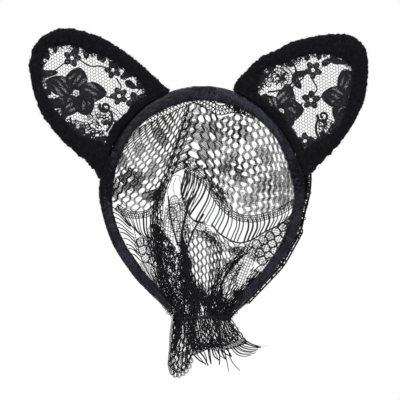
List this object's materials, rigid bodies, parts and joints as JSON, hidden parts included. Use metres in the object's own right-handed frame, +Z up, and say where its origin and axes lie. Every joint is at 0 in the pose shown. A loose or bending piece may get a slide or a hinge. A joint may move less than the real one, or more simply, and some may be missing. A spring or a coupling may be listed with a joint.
{
  "type": "animal ears headband",
  "caption": "Springy satin-wrapped headband with wire-framed lace cat ears and a gathered lace veil hanging across the loop.",
  "frame": {"origin": "middle of the flat inner face at the top of the band, where it rests on the head", "axes": "+Z up through the top of the band, -Y towards the front, +X to the right as seen from the front"},
  "size_m": [0.2204, 0.0196, 0.2257],
  "materials": {
    "satin": "blue-black satin ribbon, soft sheen",
    "plastic": "glossy black plastic strip",
    "plush": "matt black stretch-lace pile with a fuzzy surface",
    "wire": "annealed steel wire",
    "ear_lace": "fine black tulle with floral motifs",
    "veil_lace": "open black knitted lace",
    "tape": "woven black seam tape",
    "thread": "black sewing thread"
  },
  "bodies": {
    "crown": {"band_wrap_crown": "satin", "band_strip_crown": "plastic", "left_ear_wire_leg_inner": "wire", "left_ear_wire_leg_outer": "wire", "right_ear_wire_leg_inner": "wire", "right_ear_wire_leg_outer": "wire", "veil_seam_tape": "tape", "veil_yoke": "veil_lace"},
    "left_arm": {"band_wrap_left_arm": "satin", "band_strip_left_arm": "plastic"},
    "right_arm": {"band_wrap_right_arm": "satin", "band_strip_right_arm": "plastic"},
    "left_ear": {"left_ear_rim": "plush", "left_ear_wire": "wire", "left_ear_foot_binding": "plush", "left_ear_lace": "ear_lace"},
    "right_ear": {"right_ear_rim": "plush", "right_ear_wire": "wire", "right_ear_foot_binding": "plush", "right_ear_lace": "ear_lace"},
    "veil": {"veil_panel": "veil_lace", "veil_gather": "veil_lace", "veil_gather_thread": "thread", "veil_tail_left_lobe": "veil_lace", "veil_tail_right_lobe": "veil_lace"}
  },
  "joints": [
    {"name": "left_arm_flex", "type": "hinge", "parent": "crown", "child": "left_arm", "pos_m": [-0.06261, 0, -0.056], "axis": [0, 1, 0], "range_deg": [-3, 14], "stiffness_Nm_per_rad": 0.8},
    {"name": "right_arm_flex", "type": "hinge", "parent": "crown", "child": "right_arm", "pos_m": [0.06261, 0, -0.056], "axis": [0, -1, 0], "range_deg": [-3, 14], "stiffness_Nm_per_rad": 0.8},
    {"name": "left_ear_tilt", "type": "hinge", "parent": "crown", "child": "left_ear", "pos_m": [-0.05047, 0, -0.01679], "axis": [0.6306, 0, 0.7761], "range_deg": [-20, 20]},
    {"name": "right_ear_tilt", "type": "hinge", "parent": "crown", "child": "right_ear", "pos_m": [0.04973, 0, -0.01584], "axis": [0.6435, 0, -0.7654], "range_deg": [-20, 20]},
    {"name": "veil_swing", "type": "hinge", "parent": "crown", "child": "veil", "pos_m": [0, 0.0073, -0.0371], "axis": [1, 0, 0], "range_deg": [0, 60]}
  ]
}
